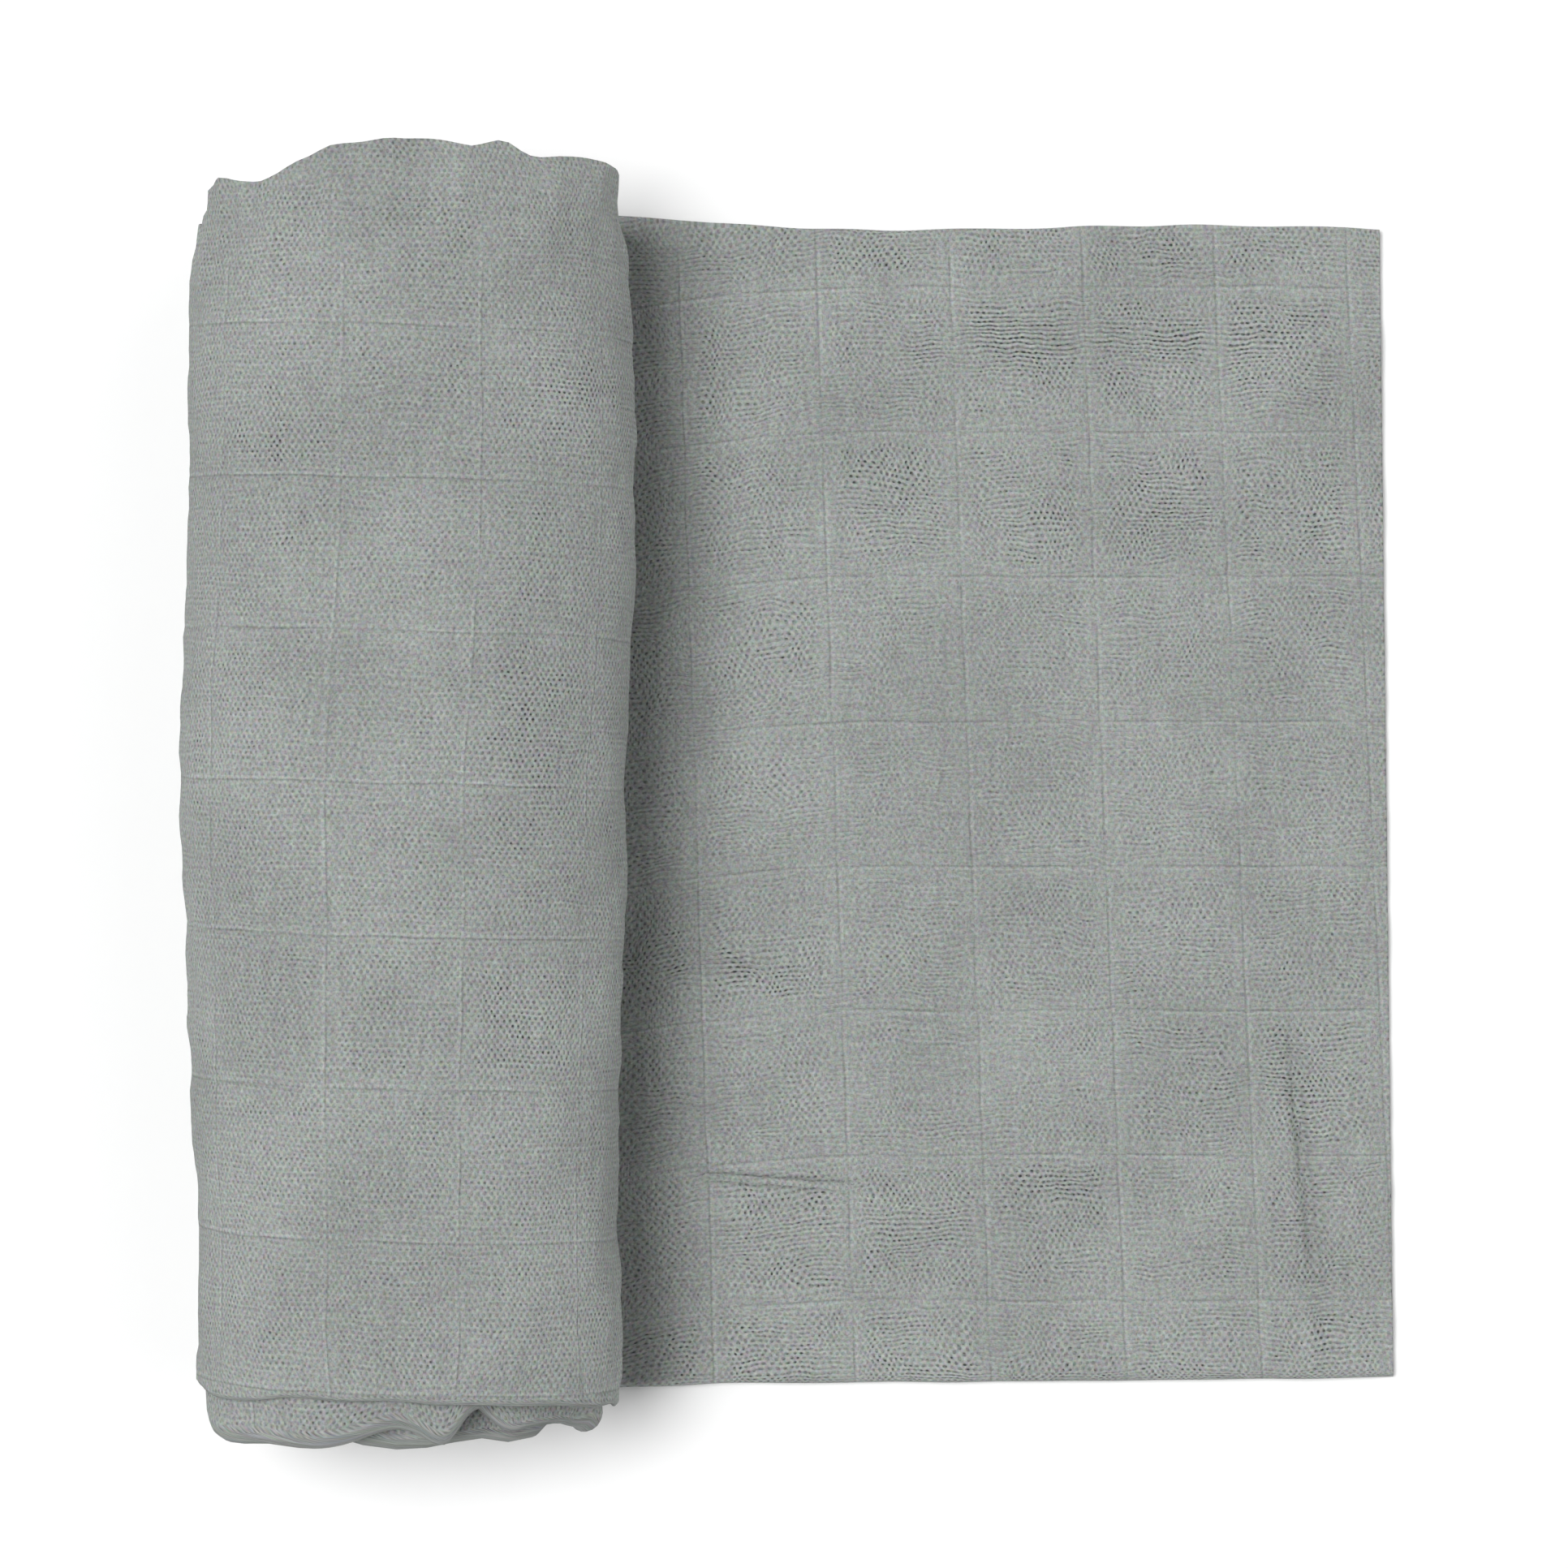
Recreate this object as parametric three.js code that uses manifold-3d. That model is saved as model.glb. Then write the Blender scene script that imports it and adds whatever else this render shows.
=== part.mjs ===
// A muslin swaddle: one square of thin cotton, folded in half twice into a strip of four layers and part
// rolled up. The roll lies on the strip, and the strip's free end lies flat beside it.
// Millimetres, +Z up. +X runs to the free end, Y along the roll, and the origin is under the middle.
import * as THREE from "three";
import Module from "manifold-3d";
import { mergeVertices } from "three/addons/utils/BufferGeometryUtils.js";

// The cloth and its fold
const CLOTH_SIDE = 1200;
const LAYERS = 4;
const LAYER_THICKNESS = 1.0;
const LAYER_GAP = 0.4;
const STRIP_THICKNESS = LAYERS * LAYER_THICKNESS + (LAYERS - 1) * LAYER_GAP;
const FOLD_ROUND = 1.8;

// The flat part
const FREE_END_X = 154.3;
const FREE_END_SKEW = -0.012;
const FLAT_STEP = 9.6;
const SLOT_PLACES_X = [165, 100, 45, 10, -34];
const SLOT_BEYOND_EDGE = -5;

// The roll. A pitch is how far one turn lies inside the turn before it.
const ROLL_HEIGHT = 92;
const PITCH_SIDE = 9;
const PITCH_TOP = 9.4;
const PITCH_UNDER = STRIP_THICKNESS + 0.3;
const BULK_ABOVE = 1.0;
const FLAT_SPOT_SINK = 1.0;
const SQUARENESS_UNDER = 0.8;
const SQUARENESS_ABOVE = 0.93;
const ROLL_STEP = 10.5;
const ROW_STEP = 15;
const TINY_TURN = 0.002;

// The turns are one mass inside, and show apart at the two ends.
const MASS_FROM_Y = -142;
const MASS_TO_Y = 138;
const MASS_DEPTH = 0.4;
const MASS_STEP_ANGLE = 0.45;
const MASS_SIDES = 32;

// Soft puffs between the lines of the windowpane
const PANE_ALONG = 34.5;
const PANE_ACROSS = 38;
const PANE_LEAN = 0.04;
const PUFF = 0.9;
const PUFF_FADE_X = [-52, -30];

const CLOTH_COLOUR = 0x9ea2a0;

// The roll's two sides, seen from above
const ROLL_SIDES = smoothTable(["y", "left", "right"], [
  [-160, -151.0, -43.5],
  [-136, -151.6, -43.8],
  [-106, -151.7, -44.6],
  [-76, -153.5, -44.1],
  [-46, -154.1, -43.3],
  [-21, -155.4, -42.3],
  [4, -156.3, -43.0],
  [29, -155.8, -41.7],
  [59, -154.2, -40.2],
  [89, -153.8, -40.3],
  [119, -153.9, -41.1],
  [134, -152.5, -42.4],
  [160, -150.0, -44.6],
]);

// The two long edges of the flat part
const FLAT_EDGES = smoothTable(["x", "low", "high"], [
  [-100, -153.6, 151.7],
  [-45, -153.9, 151.8],
  [-27, -153.0, 150.5],
  [10, -152.5, 148.4],
  [45, -152.3, 148.4],
  [100, -151.8, 149.4],
  [157, -151.1, 148.6],
]);

// The same edges around the roll. Turn 0 is under the roll, 0.25 its left side and 0.5 its top.
const ROLL_EDGES = smoothTable(["turn", "low", "high"], [
  [0.0, -153.6, 151.7],
  [0.25, -147.5, 146.7],
  [0.35, -147.1, 154.2],
  [0.42, -146.6, 155.7],
  [0.5, -146.4, 162.7],
  [0.6, -147.1, 160.7],
  [0.7, -150.8, 160.4],
  [0.78, -152.3, 156.7],
  [1.0, -153.8, 152.7],
  [1.2, -160.3, 156.2],
  [1.4, -162.8, 153.7],
  [1.55, -161.8, 155.7],
  [1.65, -156.8, 151.7],
  [1.75, -159.3, 149.7],
  [2.0, -156.3, 146.7],
  [2.5, -161.3, 144.7],
  [3.0, -157.3, 141.7],
  [3.5, -160.3, 140.7],
  [4.0, -156.3, 141.7],
  [4.6, -154.3, 142.7],
]);

// Troughs and ridges on the flat part: from one end to the other, half width and depth (a ridge is below 0).
// The mesh has more lines where the first and the last of them run.
const CREASES = [
  { from: [-23, -99.5], to: [13, -101.5], half: 4, depth: 1.1 },
  { from: [13, -101.5], to: [90, -101.0], half: 7, depth: -0.5 },
  { from: [130.5, -54], to: [136.5, -143], half: 5, depth: 1.0 },
];
const CREASE_LINES_X = [128.5, 133.5, 138.5];
const CREASE_LINES_Y = [-103.5, -99.5, -95.5];

// Reads the rows of a table as smooth functions of its first column.
function smoothTable(columns, rows) {
  const places = rows.map((row) => row[0]);
  const values = rows.flatMap((row) => row.slice(1));
  const curve = new THREE.CubicInterpolant(places, values, columns.length - 1);
  return (place) => {
    const held = THREE.MathUtils.clamp(place, places[0], places.at(-1));
    const found = curve.evaluate(held);
    return Object.fromEntries(columns.slice(1).map((name, k) => [name, found[k]]));
  };
}

// A number raised to a power, with its sign kept.
const signedPower = (value, power) => Math.sign(value) * Math.abs(value) ** power;

// A point of the wound form at an angle from the bottom, going up the left side, so many turns deep.
function rollPoint(angle, depth, y) {
  const { left, right } = ROLL_SIDES(y);
  const halfWidth = (right - left) / 2 + PITCH_SIDE * (0.5 - depth);
  const centreX = (left + right) / 2 + PITCH_SIDE / 4;
  const under = PITCH_UNDER * depth;
  const over = ROLL_HEIGHT + PITCH_TOP * (0.5 - depth);
  const squareness = THREE.MathUtils.mapLinear(
    Math.cos(angle), 1, -1, SQUARENESS_UNDER, SQUARENESS_ABOVE);
  const x = centreX - halfWidth * signedPower(Math.sin(angle), squareness);
  const z = (under + over) / 2 - ((over - under) / 2) * signedPower(Math.cos(angle), squareness);
  return new THREE.Vector2(x, z);
}

// The strip's outer face at a turn of the roll. Each turn is flat where it lies on the one below.
function outerFace(turn, y) {
  const point = rollPoint(2 * Math.PI * turn, turn, y);
  const bed = PITCH_UNDER * Math.round(turn);
  const sinking = FLAT_SPOT_SINK * (0.5 + 0.5 * Math.cos(2 * Math.PI * turn));
  point.y = Math.max(point.y - sinking, bed);
  return point;
}

// How far a puff stands up at a place on the cloth, from 0 on the windowpane's lines to 1.
function puff(along, y) {
  const leaning = along + PANE_LEAN * y;
  const lengthwise = Math.abs(Math.sin((Math.PI * leaning) / PANE_ALONG));
  const crosswise = Math.abs(Math.sin((Math.PI * y) / PANE_ACROSS));
  return Math.sqrt(lengthwise * crosswise);
}

// The share of a crease's depth at a place: 1 on its line, 0 beyond its half width.
function creaseShare({ from, to, half }, x, y) {
  const line = new THREE.Line3(new THREE.Vector3(...from, 0), new THREE.Vector3(...to, 0));
  const place = new THREE.Vector3(x, y, 0);
  const near = line.closestPointToPoint(place, true, new THREE.Vector3());
  return 1 - THREE.MathUtils.smoothstep(near.distanceTo(place), 0, half);
}

// How far the flat part's top stands above its nominal height.
function relief(x, y) {
  const fade = THREE.MathUtils.smoothstep(x, ...PUFF_FADE_X);
  const creased = CREASES.map((crease) => crease.depth * creaseShare(crease, x, y));
  return fade * (PUFF * puff(x, y) - creased.reduce((sum, depth) => sum + depth, 0));
}

// Evenly spaced places from one end to the other, with a few more at each crease.
function placesWith(from, to, step, extras) {
  const count = Math.round(Math.abs(to - from) / step);
  const even = Array.from({ length: count + 1 }, (_, k) => THREE.MathUtils.lerp(from, to, k / count));
  const clear = even.filter((place) => extras.every((extra) => Math.abs(extra - place) > step / 4));
  const all = clear.concat(extras);
  return all.sort((a, b) => (a - b) * Math.sign(to - from));
}

// A ring of points around the strip at one place along it. under and top give its faces at a height y.
function stripRing({ low, high }, shares, under, top) {
  const heights = shares.map((share) => THREE.MathUtils.lerp(low + FOLD_ROUND, high - FOLD_ROUND, share));
  const edge = (y) => under(y).clone().lerp(top(y), 0.5);
  return [edge(low), ...heights.map(under), edge(high), ...heights.map(top).reverse()];
}

// A ring on the flat part, whose underside lies on the surface.
function flatRing(nominalX, shares) {
  const skewed = (y) => nominalX + FREE_END_SKEW * y * (nominalX / FREE_END_X);
  const under = (y) => new THREE.Vector3(skewed(y), y, 0);
  const top = (y) => new THREE.Vector3(skewed(y), y, STRIP_THICKNESS + relief(skewed(y), y));
  return stripRing(FLAT_EDGES(nominalX), shares, under, top);
}

// A ring at a turn of the roll, whose top face lies inside the outer one.
function rollRing(turn, run, shares) {
  const above = (1 - Math.cos(2 * Math.PI * turn)) / 2;
  const thickness = STRIP_THICKNESS + BULK_ABOVE * above;
  const inwards = (y) => {
    const step = outerFace(turn + TINY_TURN, y).sub(outerFace(turn - TINY_TURN, y)).normalize();
    return new THREE.Vector2(step.y, -step.x);
  };
  const faceAt = (y, depth) => {
    const place = outerFace(turn, y).addScaledVector(inwards(y), depth);
    return new THREE.Vector3(place.x, y, place.y);
  };
  const under = (y) => faceAt(y, PUFF * above * (1 - puff(run, y)));
  const top = (y) => faceAt(y, thickness);
  return stripRing(ROLL_EDGES(turn), shares, under, top);
}

// The turns at which the rolled part of the strip has a ring, with the length rolled up to there.
function rollStations(rolledLength) {
  const middle = (turn) => outerFace(turn, 0).lerp(rollPoint(2 * Math.PI * turn, turn + 1, 0), 0.5);
  const stations = [];
  let turn = 0;
  let run = 0;
  while (run < rolledLength) {
    if (run >= stations.length * ROLL_STEP) stations.push({ turn, run });
    run += middle(turn).distanceTo(middle(turn + TINY_TURN));
    turn += TINY_TURN;
  }
  return stations;
}

// A closed surface through rings of equal length, with both ends capped from side to side.
function closedLoft(rings) {
  const size = rings[0].length;
  const index = [];
  const quad = (a, b, c, d) => {
    if (b !== c) index.push(a, b, c);
    if (a !== d) index.push(a, c, d);
  };
  for (let i = 0; i + 1 < rings.length; i++) {
    for (let k = 0; k < size; k++) {
      const next = (k + 1) % size;
      quad(i * size + k, (i + 1) * size + k, (i + 1) * size + next, i * size + next);
    }
  }
  const last = (rings.length - 1) * size;
  for (let k = 0; k < size / 2; k++) {
    const across = (size - k) % size;
    const acrossNext = size - k - 1;
    quad(k, k + 1, acrossNext, across);
    quad(last + across, last + acrossNext, last + k + 1, last + k);
  }
  const geometry = new THREE.BufferGeometry().setFromPoints(rings.flat());
  return geometry.setIndex(index);
}

const wasm = await Module();
wasm.setup();

// A closed geometry as a solid that can be joined and cut.
function solidOf(geometry) {
  const merged = mergeVertices(geometry, 1e-4);
  return new wasm.Manifold(new wasm.Mesh({
    numProp: 3,
    vertProperties: merged.attributes.position.array,
    triVerts: new Uint32Array(merged.index.array),
  }));
}

// A solid as a geometry that a mesh can hold.
function geometryOf(solid) {
  const { vertProperties, triVerts } = solid.getMesh();
  const geometry = new THREE.BufferGeometry();
  geometry.setAttribute("position", new THREE.BufferAttribute(vertProperties, 3));
  geometry.setIndex(new THREE.BufferAttribute(triVerts, 1));
  geometry.computeVertexNormals();
  return geometry;
}

// The whole strip, from its free end along the surface and round the roll to its inner end.
function strip() {
  const flatLength = FREE_END_X - rollPoint(0, 0, 0).x;
  const { low, high } = FLAT_EDGES(FREE_END_X);
  const shareOf = (y) => (y - low) / (high - low);
  const shares = placesWith(0, 1, ROW_STEP / (high - low), CREASE_LINES_Y.map(shareOf));
  const flatTo = FREE_END_X - flatLength + FLAT_STEP;
  const flat = placesWith(FREE_END_X, flatTo, FLAT_STEP, CREASE_LINES_X).map((x) => flatRing(x, shares));
  const rolled = rollStations(CLOTH_SIDE - flatLength).map(({ turn, run }) => rollRing(turn, run, shares));
  return solidOf(closedLoft(flat.concat(rolled)));
}

// The mass of the turns, from a little way inside one end of the roll to the other. Its side runs inside
// the outer turn, and steps in to the next turn where it crosses the strip under the roll.
function woundMass() {
  const depthAt = (angle) => {
    const stepped = 1 - THREE.MathUtils.smoothstep(angle, 0, MASS_STEP_ANGLE);
    return angle / (2 * Math.PI) + MASS_DEPTH + stepped;
  };
  const ring = (y) => Array.from({ length: MASS_SIDES }, (_, k) => {
    const angle = (2 * Math.PI * ((k + MASS_SIDES / 4) % MASS_SIDES)) / MASS_SIDES;
    const place = rollPoint(angle, depthAt(angle), y);
    return new THREE.Vector3(place.x, y, place.y);
  });
  return solidOf(closedLoft(placesWith(MASS_TO_Y, MASS_FROM_Y, 2 * ROW_STEP, []).map(ring)));
}

// The air between two layers of the flat part, with each side's distance in from the strip's edge.
function slot({ from, to, insetLow, insetHigh }) {
  const ring = (x) => {
    const { low, high } = FLAT_EDGES(x);
    const first = low + insetLow;
    const second = insetHigh === null ? low + insetLow + LAYER_GAP : high - insetHigh;
    const corner = (y, z) => new THREE.Vector3(x, y, z);
    return [corner(first, from), corner(second, from), corner(second, to), corner(first, to)];
  };
  return solidOf(closedLoft(SLOT_PLACES_X.map(ring)));
}

// Folded in half twice, the strip has one fold inside another at its low edge. At its high edge the two
// upper layers meet in a fold over two open hems.
function slots() {
  const storey = LAYER_THICKNESS + LAYER_GAP;
  const above = (layer) => ({ from: layer * storey - LAYER_GAP, to: layer * storey });
  return [
    slot({ ...above(1), insetLow: LAYER_THICKNESS, insetHigh: SLOT_BEYOND_EDGE }),
    slot({ ...above(2), insetLow: LAYER_THICKNESS + storey, insetHigh: SLOT_BEYOND_EDGE }),
    slot({ ...above(3), insetLow: LAYER_THICKNESS, insetHigh: LAYER_THICKNESS }),
    slot({ from: LAYER_THICKNESS, to: 3 * storey, insetLow: LAYER_THICKNESS, insetHigh: null }),
  ];
}

function muslinSwaddle() {
  const whole = slots().reduce((solid, air) => solid.subtract(air), strip().add(woundMass()));
  const cotton = new THREE.MeshStandardMaterial({ color: CLOTH_COLOUR, roughness: 0.95, metalness: 0 });
  const mesh = new THREE.Mesh(geometryOf(whole), cotton);
  mesh.name = "muslin_swaddle";
  return mesh;
}

const group = new THREE.Group();
group.add(muslinSwaddle());

export default group;
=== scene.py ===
# A muslin swaddle: one square of thin cotton, folded in half twice into a strip of four layers and part
# rolled up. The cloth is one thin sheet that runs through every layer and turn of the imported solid.
# Metres, in the part's frame: +Z up, +X to the strip's free end, Y along the roll.
import math

import bpy
import numpy as np
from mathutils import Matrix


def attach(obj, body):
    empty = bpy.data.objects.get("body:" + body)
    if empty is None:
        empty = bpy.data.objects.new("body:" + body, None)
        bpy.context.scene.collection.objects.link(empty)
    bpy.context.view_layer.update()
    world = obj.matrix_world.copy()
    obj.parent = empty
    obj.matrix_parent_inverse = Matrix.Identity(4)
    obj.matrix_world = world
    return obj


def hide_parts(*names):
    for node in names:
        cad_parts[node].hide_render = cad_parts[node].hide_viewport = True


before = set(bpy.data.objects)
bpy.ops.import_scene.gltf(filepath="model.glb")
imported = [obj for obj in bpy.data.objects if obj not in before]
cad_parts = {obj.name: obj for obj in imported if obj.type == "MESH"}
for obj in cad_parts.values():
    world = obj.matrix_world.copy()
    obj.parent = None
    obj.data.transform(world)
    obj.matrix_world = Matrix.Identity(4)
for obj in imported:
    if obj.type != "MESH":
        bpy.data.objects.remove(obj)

MM = 0.001
TURN = 2 * math.pi
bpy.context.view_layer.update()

# The cloth and its fold, as the solid has them
CLOTH_SIDE = 1200 * MM
LAYERS = 4
STRIP_THICKNESS = 5.2 * MM
FREE_END_X = 154.3 * MM
FREE_END_SKEW = -0.012
FREE_END_THINNED = 0.5
FREE_END_THINNED_OVER = 11 * MM

# The roll. A pitch is how far one turn lies inside the turn before it.
ROLL_HEIGHT = 92 * MM
PITCH_SIDE = 9 * MM
PITCH_TOP = 9.4 * MM
PITCH_UNDER = 5.5 * MM
FLAT_SPOT_SINK = 1.0 * MM
SQUARENESS_UNDER = 0.8
SQUARENESS_ABOVE = 0.93
PITCH_FILLED_AT_ENDS = 0.88
PITCH_FILLED_INSIDE = 0.99
PITCH_FILLED_UP_TO_Y = (115 * MM, 140 * MM)
TINY_TURN = 0.002
MOST_TURNS = 6

# At the roll's low end the inner turns press outwards, and its core is drawn together
OPENED_LEFT = 6.4 * MM
OPENED_RIGHT = 4.6 * MM
OPENED_BETWEEN_Y = (-128 * MM, -149 * MM)
OPENED_ABOVE = (0.06, 0.45)
OPENED_LESS_PER_TURN = 0.16
PAST_OUTER_TURN_Y = (147 * MM, 152 * MM)
CORE_CENTRE = (-96.5 * MM, 39.5 * MM)
CORE_HALF_WIDTH = 10.6 * MM
CORE_HALF_HEIGHT = 8.5 * MM
CORE_CLOSED = 0.95
CORE_REACH = 3.4

# Recesses of that end: the turns at which each starts, is full, begins to end and is gone, and its depth
RECESSES = (
    (1.552, 1.572, 1.69, 1.72, 5.0 * MM),
    (2.50, 2.56, 2.64, 2.68, 3.5 * MM),
)

# Where each layer lies in the strip's thickness, from its outer face, how much that wanders, and the radii
# of the folds as shares of the thickness
LAYER_SHARES = {1: 0.035, 2: 0.35, 3: 0.66, 4: 0.965}
LAYER_WANDER = 0.05
LAYER_WANDER_LENGTH = 60 * MM
OUTER_FOLD_RADIUS = 0.465
INNER_FOLD_RADIUS = 0.155

# How far the hidden folds and the hems lie behind the strip's edges. The edges wander by these shares on
# the flat part, and by so much more on the outer turn and again inside it.
INNER_FOLD_BEHIND = 3.5 * MM
UPPER_FOLD_BEHIND = 1.2 * MM
OUTER_HEM_BEHIND = 1.6 * MM
INNER_HEM_BEHIND = 3.0 * MM
EDGE_WANDER_SHARES = (0.12, 0.3, 0.2)

# The hem, turned once to the cloth's wrong side
HEM_WIDTH = 6 * MM
HEM_LIFT = 0.55 * MM
HEM_LIP = 0.4 * MM

# Its places, as how far each is from the cloth's edge and its share of the lift: long edges, then ends
HEM_STEPS = ((HEM_WIDTH, 1.0), (HEM_WIDTH * 0.55, 1.05), (HEM_LIP * 2, 1.0), (HEM_LIP * 0.3, 0.6))
END_HEM_STEPS = ((HEM_WIDTH, 1.0), (HEM_WIDTH * 0.5, 1.05), (HEM_LIP * 2, 1.0), (HEM_LIP * 0.3, 0.6))

# Steps of the mesh across the cloth and along it
FINE_ACROSS = 2.75 * MM
CREASE_ACROSS = 0.8 * MM
CREASE_ROWS_Y = (-105.5 * MM, -95 * MM)
COARSE_ACROSS = 18 * MM
FINE_ALONG = 2.7 * MM
CREASE_ALONG = 1.4 * MM
CREASE_COLUMNS_X = (140 * MM, 126 * MM)
HIDDEN_ALONG = 8 * MM
SECOND_TURN_ALONG = 4 * MM
INNER_ALONG = 7.5 * MM
HIDDEN_FROM_X = -58 * MM
OUTER_TURN = (0.1, 0.96)
SECOND_TURN_TOP = (1.2, 1.42, 1.60, 1.82)
FOLDED_ALONG = 1.6 * MM

# The windowpane: spacing of its lines along and across the cloth, the first line of each, how much the
# lines lean, how far they are shifted and slope on the roll, where the middle of the straight weave lies,
# and how much further the outer layers travel around the roll
PANE_ALONG = 34.9 * MM
PANE_ACROSS = 37.7 * MM
PANE_FIRST_ALONG = 9.4 * MM
PANE_FIRST_ACROSS = 33.5 * MM
PANE_LEAN = 0.0338
PANE_LEAN_ON_ROLL = 0.020
PANE_LEAN_FROM_Y = 150 * MM
PANE_SHIFT_ON_ROLL = (-12.9 * MM, 30.3 * MM)
PANE_SLOPE_ON_ROLL = -0.028
STRAIGHT_MIDDLE_FLAT = -2.0 * MM
STRAIGHT_MIDDLE_ROLL = 1.6 * MM
OUTER_LAYER_TRAVEL = 0.09

# Heights of the cloth's relief, the lengths of its waves, and where the gathers and the warp reach to
PUFF = 0.6 * MM
WRINKLE = 0.28 * MM
LONG_WRINKLE_LENGTH = 24 * MM
SHORT_WRINKLE_LENGTH = 11 * MM
CRINKLE = 0.09 * MM
CRINKLE_LENGTH = 7 * MM
END_GATHER_LOW = 0.3 * MM
END_GATHER_HIGH = 0.7 * MM
END_GATHER_LENGTH = 9 * MM
END_GATHER_REACH = (4 * MM, 38 * MM)
TOP_RELIEF_FROM_X = (-48 * MM, -28 * MM)
END_WARP = 0.9 * MM
END_WARP_LENGTH = 42 * MM
END_WARP_FROM_Y = (118 * MM, 160 * MM)
END_WARP_FROM_Z = (7 * MM, 40 * MM)
CREASE_FADE = 0.12

# Troughs and ridges of the flat part's top, in millimetres: from one end to the other, half width,
# depth. Ridges are below 0.
FLAT_CREASES = (
    ((-24, -98.6), (14, -101.4), 2.0, 3.0),
    ((-25, -95.8), (12, -98.2), 2.6, -0.5),
    ((10, -101.5), (90, -103.0), 5.0, 1.0),
    ((54, -91), (82, -89), 6.0, 1.1),
    ((-36, -44.6), (8, -46.4), 4.0, 2.0),
    ((129.5, -64), (135.0, -118), 2.8, 3.5),
    ((135.0, -112), (138.5, -146), 3.6, 1.4),
    ((126, 20), (129, -40), 6.0, 0.5),
)

# Where the weave shows strongly or weakly, as in the photograph, in millimetres: x and y of the
# middle, half width, half height, how much more than elsewhere. The patches along the creases darken
# them too, as painted crease shade.
OPEN_ELSEWHERE = 0.48
OPEN_CONTRAST = 1.6
OPEN_WEAVE_AND_CREASE_SHADE = (
    (60, 121, 30, 10, 0.62),
    (114, 119, 28, 11, 0.48),
    (98, 75, 14, 13, 0.45),
    (132, 72, 14, 16, 0.35),
    (66, 70, 12, 10, 0.4),
    (28, 82, 13, 14, 0.35),
    (16, 142, 26, 7, 0.3),
    (100, 142, 36, 5, 0.3),
    (-8, 34, 18, 12, 0.15),
    (-22, 100, 10, 30, 0.25),
    # The next five lie along the creases and darken them as painted crease shade, with open weave
    (-24, -47, 26, 8, 0.4),
    (4, -101, 28, 7, 0.4),
    (66, -97, 24, 13, 0.4),
    (130, -78, 16, 26, 0.35),
    (132, -132, 20, 14, 0.35),
    (20, -127, 28, 13, 0.3),
    (-24, -140, 20, 12, 0.35),
    (50, -148, 66, 4, 0.3),
    (88, -56, 18, 9, 0.2),
    (36, 24, 26, 26, -0.2),
    (20, -18, 34, 16, -0.15),
    (44, -72, 34, 12, -0.25),
    (100, 8, 28, 22, -0.1),
    (100, -112, 16, 9, -0.2),
    (-56, 102, 11, 9, 0.4),
    (-66, 16, 12, 26, 0.3),
    (-68, -58, 12, 18, 0.25),
    (-128, 90, 14, 10, 0.25),
    (-100, 30, 16, 44, -0.12),
)


def table(*rows):
    """Reads the rows of a table as smooth functions of its first column, held beyond its ends."""
    columns = np.array(rows, float).T
    places = columns[0]

    def curve(values):
        slopes = np.gradient(values, places)

        def read(place):
            held = np.clip(place, places[0], places[-1])
            k = np.clip(np.searchsorted(places, held, side="right") - 1, 0, len(places) - 2)
            step = places[k + 1] - places[k]
            t = (held - places[k]) / step
            rise = 3 * t**2 - 2 * t**3
            near, far = t * (1 - t) ** 2, t**2 * (t - 1)
            return (values[k] * (1 - rise) + values[k + 1] * rise
                    + step * (near * slopes[k] + far * slopes[k + 1]))
        return read
    return [curve(values * MM) for values in columns[1:]]


# The roll's two sides, seen from above: place along the roll in millimetres, left, right
roll_left, roll_right = table(
    (-160, -151.0, -43.5),
    (-136, -151.6, -43.8),
    (-106, -151.7, -44.6),
    (-76, -153.5, -44.1),
    (-46, -154.1, -43.3),
    (-21, -155.4, -42.3),
    (4, -156.3, -43.0),
    (29, -155.8, -41.7),
    (59, -154.2, -40.2),
    (89, -153.8, -40.3),
    (119, -153.9, -41.1),
    (134, -152.5, -42.4),
    (160, -150.0, -44.6),
)

# The long edges of the flat part: place along x in millimetres, low, high
flat_low, flat_high = table(
    (-100, -153.6, 151.7),
    (-45, -153.9, 151.8),
    (-27, -153.0, 150.5),
    (10, -152.5, 148.4),
    (45, -152.3, 148.4),
    (100, -151.8, 149.4),
    (157, -151.1, 148.6),
)

# The same edges around the roll, by turn. Turn 0 is under it, 0.25 its left side and 0.5 its top.
roll_low, = table(
    (0.0, -153.6),
    (0.22, -149.8),
    (0.27, -147.2),
    (0.31, -149.2),
    (0.44, -148.0),
    (0.53, -149.3),
    (0.62, -150.9),
    (0.71, -152.8),
    (0.78, -154.6),
    (1.0, -154.0),
    (1.18, -155.4),
    (1.25, -158.0),
    (1.31, -161.3),
    (1.37, -160.9),
    (1.40, -161.4),
    (1.43, -160.3),
    (1.455, -158.7),
    (1.475, -157.1),
    (1.49, -156.5),
    (1.505, -157.5),
    (1.515, -159.1),
    (1.528, -159.3),
    (1.54, -156.0),
    (1.55, -152.8),
    (1.56, -151.4),
    (1.57, -153.4),
    (1.585, -156.6),
    (1.62, -156.9),
    (1.69, -157.3),
    (1.715, -158.4),
    (1.735, -160.3),
    (1.752, -160.2),
    (1.775, -157.4),
    (1.80, -155.4),
    (2.0, -156.3),
    (2.40, -159.0),
    (2.47, -161.4),
    (2.52, -161.6),
    (2.56, -160.4),
    (2.60, -160.6),
    (2.635, -162.0),
    (2.65, -162.3),
    (2.668, -159.9),
    (2.70, -157.0),
    (2.85, -155.0),
    (3.0, -156.0),
    (3.5, -158.5),
    (3.60, -157.2),
    (4.0, -155.8),
    (4.6, -154.3),
)
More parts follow.
